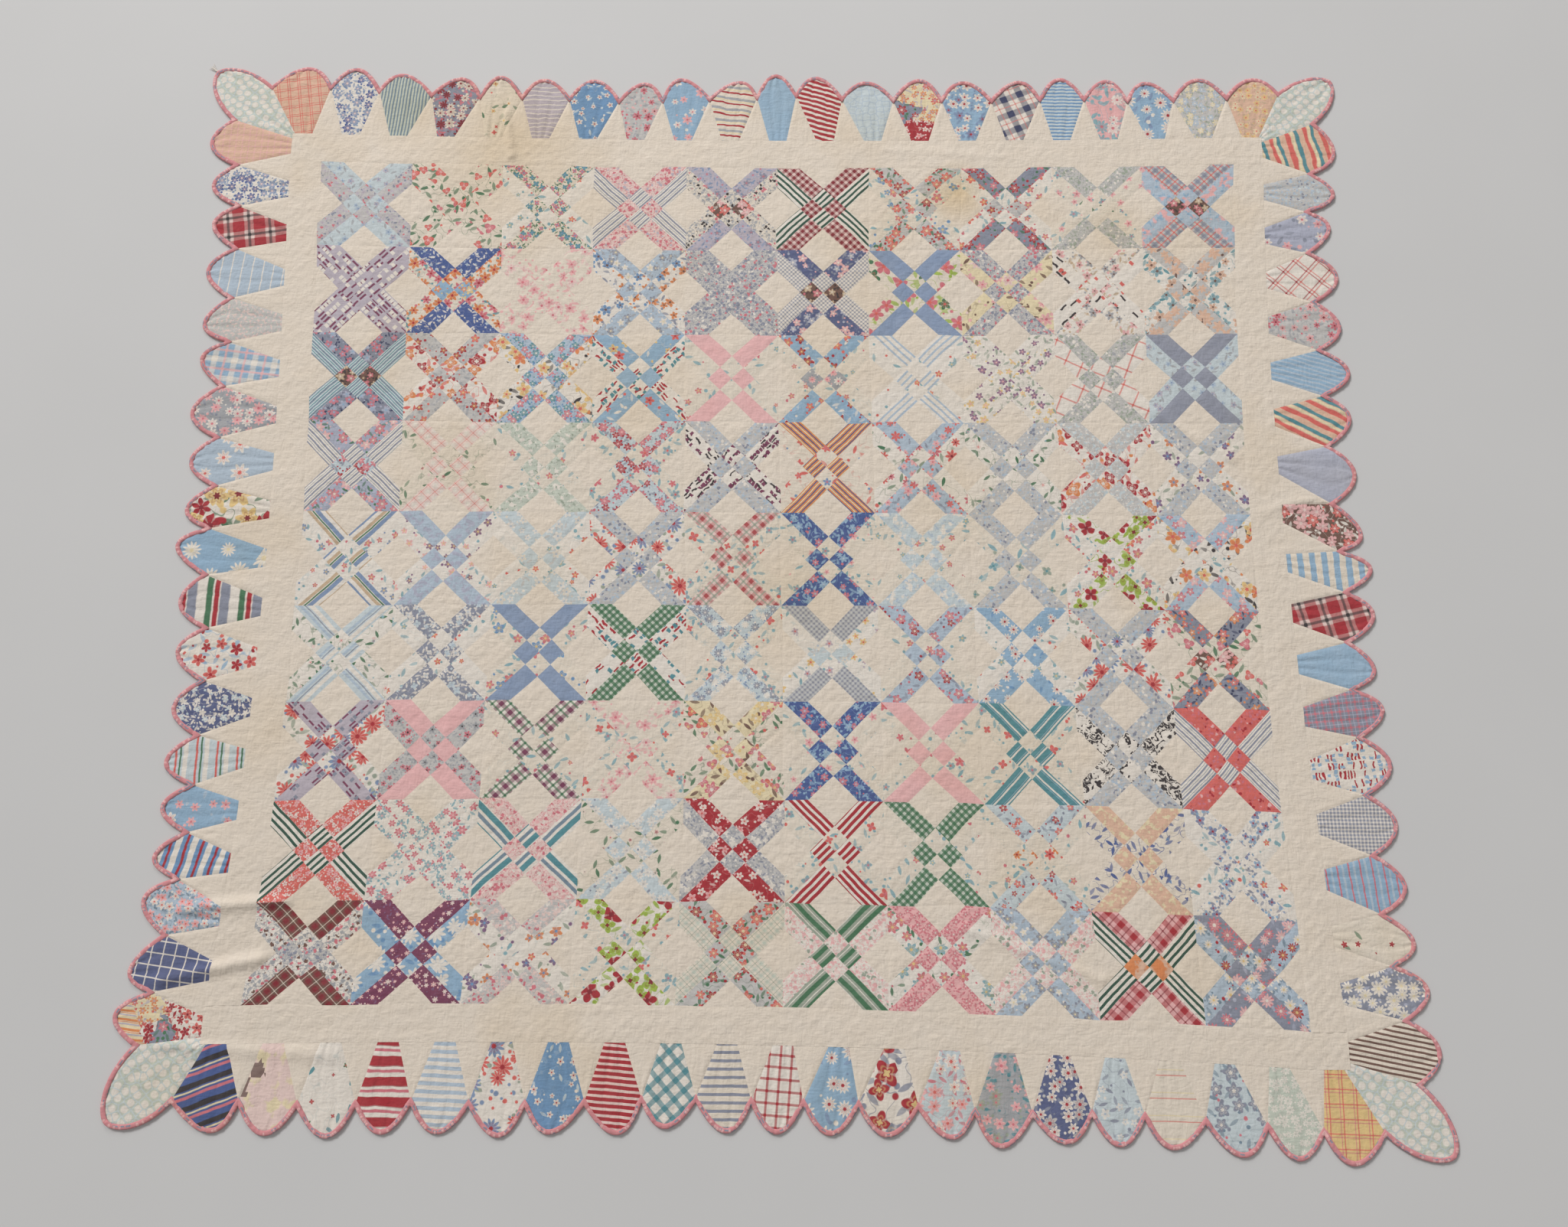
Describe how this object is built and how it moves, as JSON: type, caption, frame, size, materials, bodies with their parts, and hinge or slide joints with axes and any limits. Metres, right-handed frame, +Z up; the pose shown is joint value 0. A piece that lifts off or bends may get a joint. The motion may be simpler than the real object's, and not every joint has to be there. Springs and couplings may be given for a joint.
{
  "type": "patchwork quilt",
  "caption": "Rectangular patchwork bed quilt lying flat: pieced crossed blocks, plain border and a scalloped edge of print petals with a narrow binding.",
  "frame": {"origin": "on the underside, under the middle of the pieced field, at the height of the surface that the quilt lies on", "axes": "+X along the long ends of the quilt, +Y from the near end to the far end, +Z up out of the cloth"},
  "size_m": [2.1485, 1.9459, 0.01],
  "materials": {
    "patchwork_prints": "washed cotton feedsack prints and cream muslin, hand quilted, matt",
    "muslin": "plain unbleached cotton muslin, hand quilted, matt",
    "petal_prints": "washed cotton prints between muslin wedges, hand quilted, matt",
    "pebble_print": "pale blue-green cotton with whitish pebble circles, matt",
    "pink_binding": "pink small-floral calico cut on the bias, matt",
    "white_thread": "frayed white cotton thread, matt"
  },
  "bodies": {
    "root": {"patchwork_centre": "patchwork_prints", "border_top": "muslin", "border_right": "muslin", "border_bottom": "muslin", "border_left": "muslin", "petal_edge_top": "petal_prints", "petal_edge_right": "petal_prints", "petal_edge_bottom": "petal_prints", "petal_edge_left": "petal_prints", "corner_petal_top_left": "pebble_print", "corner_petal_top_right": "pebble_print", "corner_petal_bottom_right": "pebble_print", "corner_petal_bottom_left": "pebble_print", "binding": "pink_binding", "corner_thread": "white_thread"}
  },
  "joints": []
}
